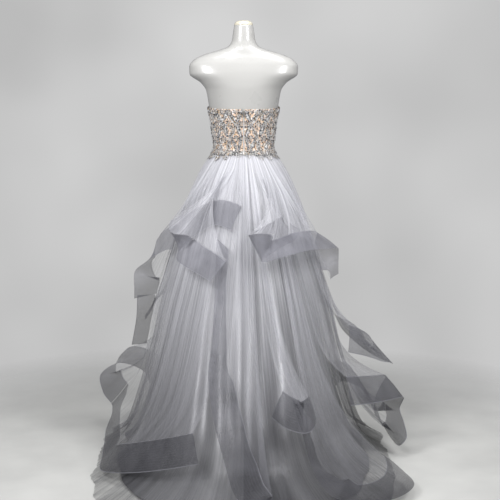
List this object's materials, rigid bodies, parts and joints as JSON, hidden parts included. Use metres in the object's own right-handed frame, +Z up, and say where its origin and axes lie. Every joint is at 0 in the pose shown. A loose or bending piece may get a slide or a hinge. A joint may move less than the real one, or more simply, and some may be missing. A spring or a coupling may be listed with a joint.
{
  "type": "strapless ball gown on a limbless dress form",
  "caption": "Strapless ball gown with a lace bodice and a sheer tulle skirt of flounces edged with stiff braid, on a limbless dress form with a round base.",
  "frame": {"origin": "centre of the stand's round base plate, on its underside, at the floor", "axes": "+Z up, -Y out of the gown's back where its zip is, +X towards the wearer's right"},
  "size_m": [1.1222, 1.3459, 1.543],
  "materials": {
    "tulle": "sheer matt net",
    "braid": "half sheer crinoline braid with a soft sheen",
    "satin": "satin",
    "lace": "corded and beaded lace on nude net",
    "zip_tape": "woven zip tape with nylon teeth",
    "zip_metal": "dark metal",
    "form": "glossy white lacquer",
    "cap": "satin cream",
    "steel": "brushed"
  },
  "bodies": {
    "gown": {"dress_form": "form", "neck_cap": "cap", "stand_pole": "steel", "stand_base": "steel", "bodice_back_right": "lace", "bodice_back_left": "lace", "bodice_side_back_right": "lace", "bodice_side_back_left": "lace", "bodice_side_front_right": "lace", "bodice_side_front_left": "lace", "bodice_front": "lace", "zip_tape": "zip_tape", "zip_slider": "zip_metal", "top_hook": "zip_metal", "tulle_skirt_1": "tulle", "tulle_skirt_2": "tulle", "tulle_skirt_3": "tulle", "tulle_skirt_4": "tulle", "tulle_skirt_5": "tulle", "tulle_skirt_6": "tulle", "tulle_skirt_7": "tulle", "tulle_skirt_8": "tulle", "satin_skirt_1": "satin", "satin_skirt_2": "satin", "satin_skirt_3": "satin", "satin_skirt_4": "satin", "satin_skirt_5": "satin", "satin_skirt_6": "satin", "flounce_upper_left": "tulle", "braid_upper_left": "braid", "flounce_side_left": "tulle", "braid_side_left": "braid", "flounce_side_cascade": "tulle", "braid_side_cascade": "braid", "flounce_front_left": "tulle", "braid_front_left": "braid", "flounce_upper_right": "tulle", "braid_upper_right": "braid", "flounce_side_right_back": "tulle", "braid_side_right_back": "braid", "flounce_side_right_front": "tulle", "braid_side_right_front": "braid", "flounce_centre_back": "tulle", "braid_centre_back": "braid", "flounce_centre_flute": "tulle", "braid_centre_flute": "braid", "flounce_lower_left_back": "tulle", "braid_lower_left_back": "braid", "flounce_lower_left_front": "tulle", "braid_lower_left_front": "braid", "flounce_lower_right": "tulle", "braid_lower_right": "braid", "flounce_middle_right_back": "tulle", "braid_middle_right_back": "braid", "flounce_middle_right_front": "tulle", "braid_middle_right_front": "braid"},
    "zip_pull": {"zip_pull_tab": "zip_metal"}
  },
  "joints": [
    {"name": "pull_tab_flip", "type": "hinge", "parent": "gown", "child": "zip_pull", "pos_m": [0, -0.1032, 1.202], "axis": [-1, 0, 0], "range_deg": [0, 150]}
  ]
}
